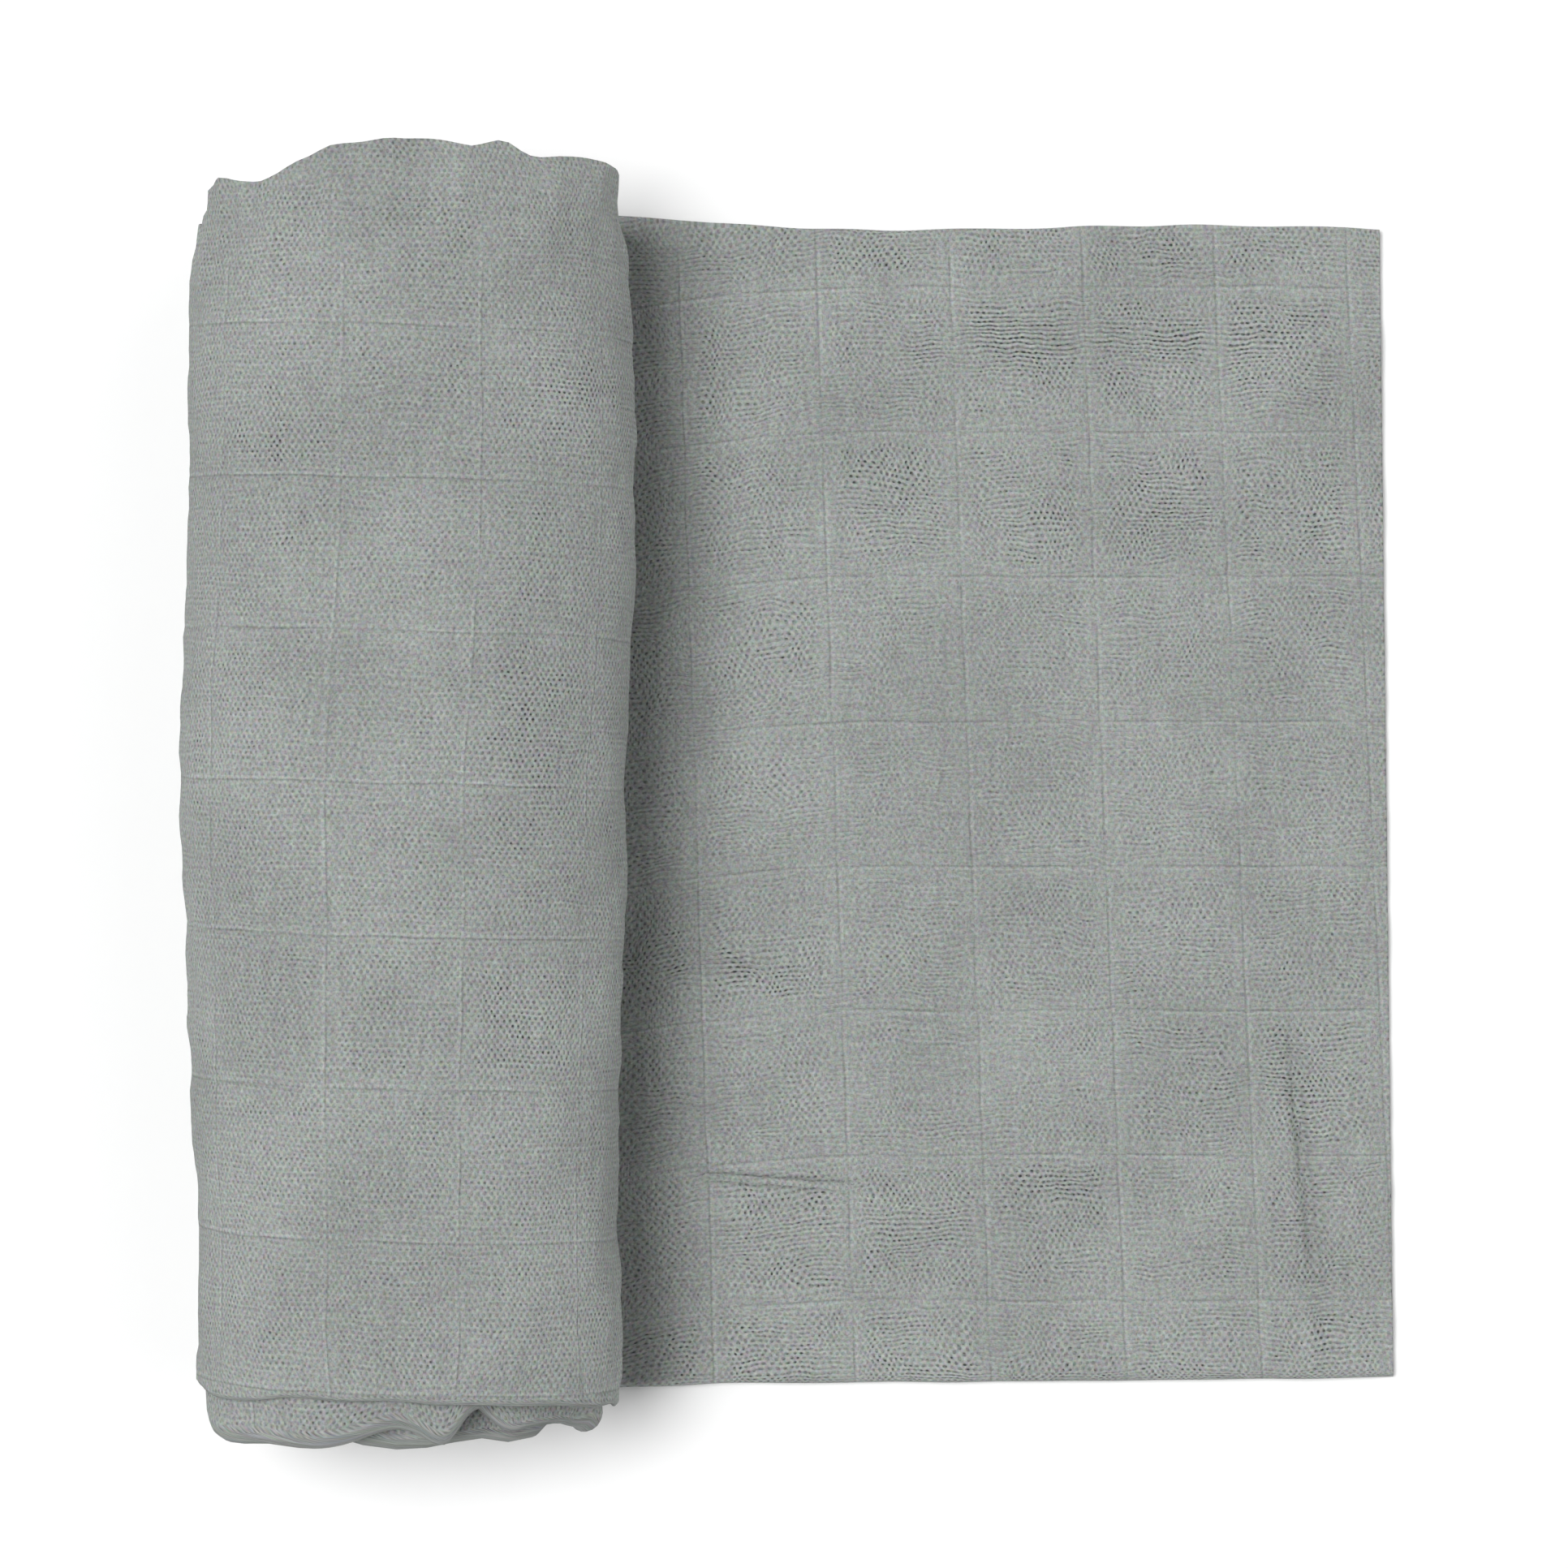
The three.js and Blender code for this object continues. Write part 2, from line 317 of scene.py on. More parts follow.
roll_high, = table(
    (0.0, 151.7),
    (0.22, 146.7),
    (0.27, 146.0),
    (0.303, 152.3),
    (0.326, 154.9),
    (0.363, 153.6),
    (0.39, 153.7),
    (0.406, 155.0),
    (0.434, 159.0),
    (0.447, 161.4),
    (0.47, 162.2),
    (0.493, 163.0),
    (0.513, 162.0),
    (0.542, 161.0),
    (0.561, 162.8),
    (0.574, 163.1),
    (0.588, 160.0),
    (0.63, 159.7),
    (0.69, 159.3),
    (0.72, 158.3),
    (0.752, 154.2),
    (0.80, 152.9),
    (1.0, 152.7),
    (1.2, 155.9),
    (1.4, 153.7),
    (1.55, 155.7),
    (1.65, 151.7),
    (1.75, 149.7),
    (2.0, 146.7),
    (2.5, 144.7),
    (3.0, 141.7),
    (3.5, 140.7),
    (4.0, 141.7),
    (4.6, 142.7),
)


def smooth_step(value, start, end):
    """A soft rise from 0 at start to 1 at end."""
    t = np.clip((value - start) / (end - start), 0, 1)
    return t * t * (3 - 2 * t)


def soft_noise(coordinates, size, seed, waves=14):
    """Smooth seeded noise of about unit height: waves in random directions, each about size long."""
    chance = np.random.default_rng(seed)
    directions = chance.normal(size=(waves, coordinates.shape[-1]))
    directions /= np.linalg.norm(directions, axis=1, keepdims=True)
    lengths = size * chance.uniform(0.7, 1.6, waves)
    phases = chance.uniform(0, TURN, waves)
    angles = coordinates @ (directions * (TURN / lengths[:, None])).T + phases
    return np.sin(angles).sum(axis=-1) * math.sqrt(2 / waves)


# The wound form, as in the solid
def signed_power(value, power):
    """A power that keeps the value's sign."""
    return np.sign(value) * np.abs(value) ** power


def roll_point(angle, depth, y):
    """x and z of the wound form at an angle from the bottom, going up the left side, so many turns deep."""
    left, right = roll_left(y / MM), roll_right(y / MM)
    half_width = (right - left) / 2 + PITCH_SIDE * (0.5 - depth)
    centre_x = (left + right) / 2 + PITCH_SIDE / 4
    under = PITCH_UNDER * depth
    over = ROLL_HEIGHT + PITCH_TOP * (0.5 - depth)
    upper = (1 - np.cos(angle)) / 2
    squareness = SQUARENESS_UNDER + (SQUARENESS_ABOVE - SQUARENESS_UNDER) * upper
    x = centre_x - half_width * signed_power(np.sin(angle), squareness)
    z = (under + over) / 2 - (over - under) / 2 * signed_power(np.cos(angle), squareness)
    return x, z


def outer_face(turn, y):
    """x and z of the strip's outer face at a turn of the roll, flat where it lies on the turn below."""
    x, z = roll_point(TURN * turn, turn, y)
    sinking = FLAT_SPOT_SINK * (0.5 + 0.5 * np.cos(TURN * turn))
    return x, np.maximum(z - sinking, PITCH_UNDER * np.round(turn))


def turns_by_length():
    """How long the strip's middle is from the bottom of the roll to each turn."""
    turns = np.arange(0, MOST_TURNS, TINY_TURN)
    outer = np.stack(outer_face(turns, 0 * turns))
    inner = np.stack(roll_point(TURN * turns, turns + 1, 0 * turns))
    middle = (outer + inner) / 2
    steps = np.hypot(*np.diff(middle, axis=1))
    return turns, np.concatenate([[0], np.cumsum(steps)])


TURNS, RUNS = turns_by_length()
FLAT_LENGTH = FREE_END_X - float(roll_point(0.0, 0.0, 0.0)[0])


def turn_at(along):
    """The turn of the roll at a place along the strip from its free end, below 0 on the flat part."""
    return np.where(along < FLAT_LENGTH, (along - FLAT_LENGTH) / CLOTH_SIDE,
                    np.interp(along - FLAT_LENGTH, RUNS, TURNS))


def along_at(turn):
    """The place along the strip at a turn of the roll."""
    return FLAT_LENGTH + float(np.interp(turn, TURNS, RUNS))


# Relief
def creases(x, y):
    """How deep the creases of the flat part's top are at each place. Each fades towards its ends."""
    depth = np.zeros_like(x)
    for start, end, half_width, deepest in FLAT_CREASES:
        x0, y0, x1, y1 = (place * MM for place in start + end)
        reach_x, reach_y = x1 - x0, y1 - y0
        share = ((x - x0) * reach_x + (y - y0) * reach_y) / (reach_x**2 + reach_y**2)
        share = np.clip(share, 0, 1)
        away = np.hypot(x - x0 - share * reach_x, y - y0 - share * reach_y)
        taper = np.sin(math.pi * (CREASE_FADE + (1 - 2 * CREASE_FADE) * share)) ** 0.5
        depth += deepest * MM * taper * (1 - smooth_step(away, 0, half_width * MM))
    return depth



def open_weave_and_crease_shade(points):
    """How strongly the gaps between yarns show at each place. Where its patches lie along the creases, the
    darker weave is also painted crease shade.
    """
    strength = np.full(points.shape[:-1], OPEN_ELSEWHERE)
    x, y = points[..., 0] / MM, points[..., 1] / MM
    for middle_x, middle_y, half_width, half_height, more in OPEN_WEAVE_AND_CREASE_SHADE:
        away = ((x - middle_x) / half_width) ** 2 + ((y - middle_y) / half_height) ** 2
        strength += OPEN_CONTRAST * more * np.exp(-away)
    return strength


def straightened(across, share, y, turn):
    """The place across the cloth, slid so that the weave lies straight where the strip's edges wander."""
    width = CLOTH_SIDE / LAYERS
    on_roll = smooth_step(turn, -0.1, 0.1)
    middle = STRAIGHT_MIDDLE_FLAT + (STRAIGHT_MIDDLE_ROLL - STRAIGHT_MIDDLE_FLAT) * on_roll
    slip = (y - middle - (share - 0.5) * width) * (1 - smooth_step(turn, 0.95, 1.05))
    direction = np.sign(np.gradient(share[:, 0]))
    places = np.arange(len(direction))
    known = direction != 0
    return across + np.interp(places, places[known], direction[known])[:, None] * slip


def pane_coordinates(along, across, y, turn, height):
    """Where a place lies in the windowpane: along and across the woven grid, in metres."""
    on_roll = smooth_step(turn, -0.1, 0.1)
    rolled_up = np.maximum(along - FLAT_LENGTH, 0)
    along = along + rolled_up * OUTER_LAYER_TRAVEL * (1 - 2 * height)
    lean = PANE_LEAN + (PANE_LEAN_ON_ROLL - PANE_LEAN) * on_roll
    grid_along = along - PANE_FIRST_ALONG - lean * (y - PANE_LEAN_FROM_Y)
    grid_along = grid_along + PANE_SHIFT_ON_ROLL[0] * on_roll
    slope = PANE_SLOPE_ON_ROLL * (rolled_up - along_at(0.5) + FLAT_LENGTH) * on_roll
    grid_across = across - CLOTH_SIDE / LAYERS - PANE_FIRST_ACROSS
    grid_across = grid_across + PANE_SHIFT_ON_ROLL[1] * on_roll + slope
    return grid_along, grid_across


def puff(grid_along, grid_across):
    """How far the cloth stands up between the windowpane's lines, from 0 on a line to 1."""
    lengthwise = np.abs(np.sin(math.pi * grid_along / PANE_ALONG))
    crosswise = np.abs(np.sin(math.pi * grid_across / PANE_ACROSS))
    return np.sqrt(lengthwise * crosswise)


def relief(along, y, turn, grid_along, grid_across, lows, highs):
    """How far the outermost layer on the roll, and the top one on the flat part, stands proud."""
    place = np.stack([along, y], axis=-1)
    stretched = np.stack([along * 0.4, y], axis=-1)
    long_waves = soft_noise(place, LONG_WRINKLE_LENGTH, 11)
    short_waves = soft_noise(stretched, SHORT_WRINKLE_LENGTH, 12)
    rippled = WRINKLE * (0.6 * long_waves + 0.5 * short_waves)
    crinkled = CRINKLE * soft_noise(place, CRINKLE_LENGTH, 13, waves=24)
    near_end = 1 - smooth_step(np.minimum(y - lows, highs - y), *END_GATHER_REACH)
    gathers = np.stack([along, y * 0.25], axis=-1)
    most = END_GATHER_LOW + (END_GATHER_HIGH - END_GATHER_LOW) * smooth_step(y, -0.1, 0.1)
    gathered = most * near_end * soft_noise(gathers, END_GATHER_LENGTH, 14)
    rolled = smooth_step(turn, 0.0, 0.2)
    return PUFF * (puff(grid_along, grid_across) - 0.5) + rippled + crinkled + rolled * gathered


# The sheet
def edge_lines(along, turn):
    """The strip's edges along it: two hems and a fold at the high one, two folds at the low one."""
    x = FREE_END_X - along
    rolled = turn > 0
    low = np.where(rolled, roll_low(turn), flat_low(x / MM))
    high = np.where(rolled, roll_high(turn), flat_high(x / MM))
    on_roll = smooth_step(turn, 0, 0.2)
    on_flat, on_outer_turn, inside = EDGE_WANDER_SHARES
    share = on_flat + on_outer_turn * smooth_step(turn, 0.05, 0.3) + inside * smooth_step(turn, 0.9, 1.1)

    def wander(size, height, seed):
        return height * share * soft_noise(along[:, None], size, seed, waves=8)
    return {
        "outer fold": low + wander(26 * MM, 0.5 * MM, 21),
        "inner fold": low + INNER_FOLD_BEHIND + wander(34 * MM, 1.3 * MM, 22),
        "upper fold": high - UPPER_FOLD_BEHIND * on_roll + wander(30 * MM, 0.8 * MM, 23),
        "outer hem": high - OUTER_HEM_BEHIND * (1 - on_roll) + wander(26 * MM, 0.6 * MM, 24),
        "inner hem": high - INNER_HEM_BEHIND + wander(38 * MM, 1.2 * MM, 25),
    }


def steps(*stretches):
    """Places at even steps along each stretch, given as its start, its end and the step."""
    parts = []
    for start, end, step in stretches:
        count = max(1, round(abs(end - start) / step))
        parts.append(np.linspace(start, end, count, endpoint=False))
    return np.append(np.concatenate(parts), stretches[-1][1])


def section():
    """The rows of the sheet across the strip. Each has its two edges, its share of the way from the low
    edge to the high one, its height in the strip's thickness, how far past the edge it stands as a share
    of the thickness, how far it is set in from the high edge and lifted, and its place across the cloth."""
    rows = []
    across = 0.0

    def add(low, high, share, height, past=0.0, inset=0.0, lift=0.0):
        """One row at the place across the cloth that has been reached."""
        rows.append((low, high, share, height, past, inset, lift, across))

    def step_on(length):
        nonlocal across
        across += length

    def hem(low, high, layer, wrong_side, outwards):
        """The hem from its cut edge to its fold, or from its fold to its cut edge."""
        for inset, lift in HEM_STEPS if outwards else HEM_STEPS[::-1]:
            step_on(0 if not rows else HEM_WIDTH / 4)
            add(low, high, 1.0, LAYER_SHARES[layer], inset=inset, lift=wrong_side * lift * HEM_LIFT)

    def layer(low, high, number, shares, upwards):
        """One layer from edge to edge of the strip."""
        places = shares if upwards else shares[::-1]
        for k, share in enumerate(places):
            step_on(abs(share - places[k - 1]) * CLOTH_SIDE / LAYERS if k else 0)
            add(low, high, share, LAYER_SHARES[number])

    def fold(low, high, start, end, side, count):
        """A half circle from one layer to the next, at the low edge (side 0) or the high one (side 1)."""
        middle = (LAYER_SHARES[start] + LAYER_SHARES[end]) / 2
        half = (LAYER_SHARES[end] - LAYER_SHARES[start]) / 2
        for k in range(1, count):
            angle = math.pi * k / count
            step_on(abs(half) * STRIP_THICKNESS * math.pi / count)
            add(low, high, side, middle - half * math.cos(angle), past=abs(half) * math.sin(angle))
        step_on(abs(half) * STRIP_THICKNESS * math.pi / count)

    low, high = float(flat_low(0.0)), float(flat_high(0.0))
    crease = [(y - low) / (high - low) for y in CREASE_ROWS_Y]
    width = CLOTH_SIDE / LAYERS
    lip = 1 - HEM_LIP / width
    even = steps((0, lip, FINE_ACROSS / width))
    creased = steps((0, crease[0], FINE_ACROSS / width), (crease[0], crease[1], CREASE_ACROSS / width),
                    (crease[1], 1, FINE_ACROSS / width))
    coarse = steps((0, lip, COARSE_ACROSS / width))
    hem("outer fold", "outer hem", 1, 1, outwards=True)
    layer("outer fold", "outer hem", 1, np.append(even, 1), upwards=False)
    fold("outer fold", "outer hem", 1, 4, 0, 9)
    layer("outer fold", "upper fold", 4, creased, upwards=True)
    fold("outer fold", "upper fold", 4, 3, 1, 5)
    layer("inner fold", "upper fold", 3, coarse, upwards=False)
    fold("inner fold", "inner hem", 3, 2, 0, 5)
    layer("inner fold", "inner hem", 2, np.append(coarse, 1), upwards=True)
    hem("inner fold", "inner hem", 2, -1, outwards=False)
    return rows


def columns_along():
    """Places along the strip, close together where the cloth shows, and the lift of each end's hem."""
    hidden = FREE_END_X - HIDDEN_FROM_X
    crease = [FREE_END_X - x for x in CREASE_COLUMNS_X]
    outer = [along_at(turn) for turn in OUTER_TURN]
    second = [along_at(turn) for turn in SECOND_TURN_TOP]
    inside = steps(
        (0, HEM_LIP, HEM_LIP),
        (HEM_LIP, crease[0], FINE_ALONG),
        (crease[0], crease[1], CREASE_ALONG),
        (crease[1], hidden, FINE_ALONG),
        (hidden, outer[0], HIDDEN_ALONG),
        (outer[0], outer[1], FINE_ALONG),
        (outer[1], second[0], INNER_ALONG),
        (second[0], second[1], SECOND_TURN_ALONG),
        (second[1], second[2], FOLDED_ALONG),
        (second[2], second[3], SECOND_TURN_ALONG),
        (second[3], CLOTH_SIDE, INNER_ALONG),
    )
    turned, lifts = np.array(END_HEM_STEPS).T
    lifts = lifts * HEM_LIFT
    along = np.concatenate([turned, inside, CLOTH_SIDE - turned[::-1]])
    lift = np.concatenate([lifts, 0 * inside, lifts[::-1]])
    return along, lift


def strip_frame(along, turn, y):
    """x, z and the inward direction of the strip's outer face at each place."""
    flat_x = FREE_END_X - along
    flat_x = flat_x + FREE_END_SKEW * y * (flat_x / FREE_END_X)
    rolled = np.maximum(turn, 0)
    x, z = outer_face(rolled, y)
    x_next, z_next = outer_face(rolled + TINY_TURN, y)
    length = np.hypot(x_next - x, z_next - z)
    inward_x = np.where(turn > 0, (z_next - z) / length, 0)
    inward_z = np.where(turn > 0, -(x_next - x) / length, 1)
    return np.where(turn > 0, x, flat_x), np.where(turn > 0, z, 0), inward_x, inward_z


def strip_thickness(along, turn, y):
    """The four layers' thickness: around the roll they fill most of the space up to the next turn."""
    x, z, inward_x, inward_z = strip_frame(0 * turn, turn, y)
    x_next, z_next = outer_face(np.maximum(turn, 0) + 1, y)
    pitch = (x_next - x) * inward_x + (z_next - z) * inward_z
    inside = 1 - smooth_step(np.abs(y), *PITCH_FILLED_UP_TO_Y)
    filled = PITCH_FILLED_AT_ENDS + (PITCH_FILLED_INSIDE - PITCH_FILLED_AT_ENDS) * inside
    thinned = 1 - FREE_END_THINNED * (1 - smooth_step(along, 0, FREE_END_THINNED_OVER)) ** 2
    return np.where(turn > 0, filled * pitch, STRIP_THICKNESS * thinned)


def draw_core_together(points):
    """Closes the hole that the innermost turn would leave, as soft cloth does."""
    across = (points[..., 0] - CORE_CENTRE[0]) / CORE_HALF_WIDTH
    up = (points[..., 2] - CORE_CENTRE[1]) / CORE_HALF_HEIGHT
    reach = np.maximum(np.hypot(across, up), 1.0)
    drawn = np.sqrt(reach**2 - CORE_CLOSED * (1 - smooth_step(reach, 1, CORE_REACH)))
    points[..., 0] = CORE_CENTRE[0] + across / reach * drawn * CORE_HALF_WIDTH
    points[..., 2] = CORE_CENTRE[1] + up / reach * drawn * CORE_HALF_HEIGHT
    return points


def opened(turn, height, y):
    """How far each layer stands outwards at the roll's low end: the outer turn is pressed thin there."""
    sideways = 0.5 + 0.5 * np.sin(TURN * turn)
    above = smooth_step((1 - np.cos(TURN * turn)) / 2, *OPENED_ABOVE)
    turns_in = np.floor(np.maximum(turn, 0)) + height
    share = smooth_step(turns_in, 0.0, 1.0) * (1 - OPENED_LESS_PER_TURN * np.maximum(turns_in - 1, 0))
    reach = OPENED_RIGHT + (OPENED_LEFT - OPENED_RIGHT) * sideways
    near_end = smooth_step(-y, -OPENED_BETWEEN_Y[0], -OPENED_BETWEEN_Y[1])
    for start, full, end, gone, depth in RECESSES:
        sunk = smooth_step(turn, start, full) * (1 - smooth_step(turn, end, gone))
        share = share - sunk * depth / reach * (1 - height)
    return np.where(turn > 0, reach * above * share * near_end, 0)


def warp_ends(points):
    """Bends the roll's two ends a little, more above than below, so that no turn is quite even."""
    places = points.copy()
    share = smooth_step(np.abs(places[..., 1]), *END_WARP_FROM_Y)
    share = share * smooth_step(places[..., 2], *END_WARP_FROM_Z)
    for axis, seed in ((0, 31), (2, 32)):
        points[..., axis] += END_WARP * share * soft_noise(places, END_WARP_LENGTH, seed)
    return points


def edges_of(rows, along, turn):
    """The low and the high edge of each row, at each place along the strip."""
    lines = edge_lines(along, turn)
    low = np.stack([lines[row[0]] for row in rows])
    high = np.stack([lines[row[1]] for row in rows])
    return low, high


def fold_radii(rows, nominal, pressed):
    """How much room the folds take at the strip's low and high edge."""
    outer_fold = np.array([row[0] == "outer fold" for row in rows])[:, None]
    upper_fold = np.array([row[1] == "upper fold" for row in rows])[:, None]
    radius_low = np.where(outer_fold, OUTER_FOLD_RADIUS, INNER_FOLD_RADIUS) * pressed
    radius_high = np.where(upper_fold, INNER_FOLD_RADIUS, 0.0) * nominal
    return radius_low, radius_high


def layer_depth(height, thickness, along, y):
    """How deep each layer lies in the strip. The inner layers wander a little."""
    place = np.stack([along, y], axis=-1)
    wander = LAYER_WANDER * height * (1 - height) * 4
    wander = wander * soft_noise(place, LAYER_WANDER_LENGTH, 41) * smooth_step(y, -0.2, 0.2)
    return (height + wander) * thickness


def cloth_points(rows, along, column_lift):
    """Every point of the sheet, row by row, and its place in the windowpane."""
    turn = turn_at(along)
    low, high = edges_of(rows, along, turn)
    values = [np.array(column)[:, None] for column in list(zip(*rows))[2:]]
    share, height, past, inset, lift, across = values
    turn, along, column_lift = (np.broadcast_to(each, low.shape) for each in (turn, along, column_lift))

    nominal = strip_thickness(along, turn, low * (1 - share) + high * share)
    pressed = nominal - opened(turn, 1.0, low) + opened(turn, 0.0, low)
    radius_low, radius_high = fold_radii(rows, nominal, pressed)
    y = (low + radius_low) * (1 - share) + (high - radius_high) * share
    across = straightened(across, share, y, turn)
    y = y - inset + np.where(share < 0.5, -past * pressed, past * nominal)
    grid_along, grid_across = pane_coordinates(along, across, y, turn, height)
    raised = relief(along, y, turn, grid_along, grid_across, low, high)

    x, z, inward_x, inward_z = strip_frame(along, turn, y)
    shown = smooth_step(FREE_END_X - along, *TOP_RELIEF_FROM_X)
    inside = smooth_step(turn, 0.9, 1.0)
    outermost = smooth_step(turn, 0.05, 0.2) * (1 - inside)
    past_edge = smooth_step(-y, *PAST_OUTER_TURN_Y) * inside
    thickness = nominal + shown * (raised + PUFF / 2 - creases(x, y))
    depth = layer_depth(height, thickness, along, y)
    depth = depth - np.maximum(outermost, past_edge) * (1 - height) * (raised - PUFF / 2)
    wrong_side = np.where(np.isin(height, (LAYER_SHARES[1], LAYER_SHARES[3])), 1.0, -1.0)
    depth = depth - opened(turn, height, y) + lift + wrong_side * column_lift
    points = np.stack([x + inward_x * depth, y, z + inward_z * depth], axis=-1)
    points = warp_ends(draw_core_together(points))
    points[..., 2] = np.maximum(points[..., 2], 0)
    return points, grid_along, grid_across


def muslin_cloth():
    """The whole cloth as one open sheet, with its place in the woven grid as its UV map."""
    rows = section()
    along, lift = columns_along()
    points, grid_along, grid_across = cloth_points(rows, along, lift)
    count_rows, count_columns = points.shape[:2]
    index = np.arange(count_rows * count_columns).reshape(count_rows, count_columns)
    corners = [index[:-1, :-1], index[:-1, 1:], index[1:, 1:], index[1:, :-1]]
    faces = np.stack(corners, axis=-1).reshape(-1, 4)
    mesh = bpy.data.meshes.new("muslin_cloth")
    mesh.from_pydata(points.reshape(-1, 3).tolist(), [], faces.tolist())
    mesh.polygons.foreach_set("use_smooth", np.ones(len(faces), bool))
    grid = np.stack([grid_along, grid_across], axis=-1).reshape(-1, 2)
    layer = mesh.uv_layers.new(name="weave")
    layer.data.foreach_set("uv", grid[faces.ravel()].ravel())
    strength = mesh.attributes.new("open_weave_and_crease_shade", "FLOAT", "POINT")
    strength.data.foreach_set("value", open_weave_and_crease_shade(points).ravel())
    mesh.update()
    cloth = bpy.data.objects.new("muslin_cloth", mesh)
    bpy.context.scene.collection.objects.link(cloth)
    return cloth


# The finish
class Nodes:
    """Short calls for the nodes of one material."""

    def __init__(self, name):
        self.material = bpy.data.materials.new(name)
        self.material.use_nodes = True
        self.tree = self.material.node_tree
        self.shader = self.tree.nodes["Principled BSDF"]

    def add(self, kind, values=None, **settings):
        node = self.tree.nodes.new(kind)
        for name, value in settings.items():
            setattr(node, name, value)
        for socket, value in (values or {}).items():
            self.put(node.inputs[socket], value)
        return node

    def put(self, socket, value):
        if isinstance(value, bpy.types.NodeSocket):
            self.tree.links.new(value, socket)
        else:
            socket.default_value = value

    def math(self, operation, *values):
        return self.add("ShaderNodeMath", dict(enumerate(values)), operation=operation).outputs[0]

    def vector(self, operation, *values):
        node = self.add("ShaderNodeVectorMath", dict(enumerate(values)), operation=operation)
        return node.outputs[0]

    def grey(self, value):
        """One value as a vector of three equal ones."""
        return self.add("ShaderNodeCombineXYZ", {0: value, 1: value, 2: value}).outputs[0]

    def scaled(self, vector, factor):
        return self.add("ShaderNodeVectorMath", {0: vector, "Scale": factor}, operation="SCALE").outputs[0]

    def noise(self, vector, size, detail, roughness=0.5):
        """Noise with lumps about size metres across: its value and its three colours as a vector."""
        values = {"Vector": vector, "Scale": 1 / size, "Detail": detail, "Roughness": roughness}
        node = self.add("ShaderNodeTexNoise", values)
        return node.outputs["Fac"], node.outputs["Color"]

    def ramp(self, value, start, end, low=0.0, high=1.0):
        """A soft change from low to high as the value goes from start to end."""
        values = {"Value": value, "From Min": start, "From Max": end, "To Min": low, "To Max": high}
        return self.add("ShaderNodeMapRange", values, interpolation_type="SMOOTHSTEP").outputs[0]

    def mix(self, share, first, second):
        node = self.add("ShaderNodeMix", {"Factor": share}, data_type="RGBA")
        self.put(node.inputs[6], first)
        self.put(node.inputs[7], second)
        return node.outputs[2]


# The cloth's colours, the spacing of its gaps, and the place along it from which it counts as rolled
THREAD_COLOUR = (0.298, 0.315, 0.304, 1)
PALE_COLOUR = (0.40, 0.42, 0.41, 1)
GAP_COLOUR = (0.060, 0.066, 0.062, 1)
YARN_ALONG = 1.63 * MM
YARN_ACROSS = 1.27 * MM
ROLLED_FROM = (200 * MM, 260 * MM)

# How the yarns wander: over what length, and how far
YARN_DRIFTS = ((26 * MM, 1.1 * MM), (8 * MM, 0.6 * MM), (2.6 * MM, 0.2 * MM))
YARN_DRIFTS_BELOW = ((21 * MM, 2.0 * MM), (9 * MM, 0.5 * MM))
LINE_DRIFT = (18 * MM, 0.25 * MM)

# The windowpane's threads and the smooth bands along them. The lines fade out so far from the pattern's
# middle: close to the hem, and in the inner layers.
LINE_HALF_WIDTH = 0.2 * MM
LINE_DARKNESS = 0.24
PALE_BESIDE = 0.75 * MM
PALE_LIGHTNESS = 0.36
LINES_UP_TO = (276 * MM, 284 * MM)
BAND_HALF_WIDTH = 2.6 * MM

# Light and dark in the cloth: grain, streaks along the yarns, clouds, and a painted highlight on the yarns
# with painted shade in their gaps
GRAIN_SIZE = 1.0 * MM
GRAIN = 0.9
SPECKLE_SIZE = 1.1 * MM
SPECKLE = 0.5
STREAKS = (0.91, 1.09)
CLOUD_SIZE = 42 * MM
CLOUDS = (0.935, 1.06)
WEAVE_SHADE = -0.155
BUMP_STRENGTH = 0.7
BUMP_DEPTH = 0.3 * MM


def drifted(nodes, place, shift, *drifts):
    """A place of the weave, moved about as the yarns wander."""
    for length, reach in drifts:
        colours = nodes.noise(nodes.vector("ADD", place, shift), length, 0)[1]
        moved = nodes.vector("SUBTRACT", colours, (0.5, 0.5, 0.5))
        place = nodes.vector("ADD", place, nodes.vector("MULTIPLY", moved, (reach * 4, reach * 4, 0)))
    return place


def woven(nodes, place, row_share):
    """The weave as a wave, 1 in the gaps and -1 on the yarns: staggered dots, which run together into
    rows where row_share is high. Also how open each gap is, from 0 to 1."""
    split = nodes.add("ShaderNodeSeparateXYZ", {0: place})
    lengthwise = nodes.math("COSINE", nodes.math("MULTIPLY", split.outputs[0], TURN / YARN_ALONG))
    staggered = nodes.math("COSINE", nodes.math("MULTIPLY", split.outputs[1], TURN / 2 / YARN_ACROSS))
    dots = nodes.math("MULTIPLY", lengthwise, staggered)
    rows = nodes.math("COSINE", nodes.math("MULTIPLY", split.outputs[1], TURN / YARN_ACROSS))
    wave = nodes.add("ShaderNodeMix", {0: row_share, 2: dots, 3: rows}).outputs[0]
    return wave, nodes.ramp(wave, -0.05, 0.95)


def stretched_noise(nodes, place, along, across):
    """Noise drawn out into streaks, with its lengths along and across the cloth."""
    scaled = nodes.vector("MULTIPLY", place, (1 / along, 1 / across, 0))
    return nodes.noise(scaled, 1.0, 1.0)[0]


def yarn_places(nodes, weave, rolled):
    """Where the yarns lie. They wander less on the roll, where the cloth is drawn tight."""
    moved = nodes.vector("SUBTRACT", drifted(nodes, weave, (0, 0, 0), *YARN_DRIFTS), weave)
    share = nodes.math("MULTIPLY_ADD", rolled, -0.5, 1.0)
    return nodes.vector("ADD", weave, nodes.scaled(moved, share))


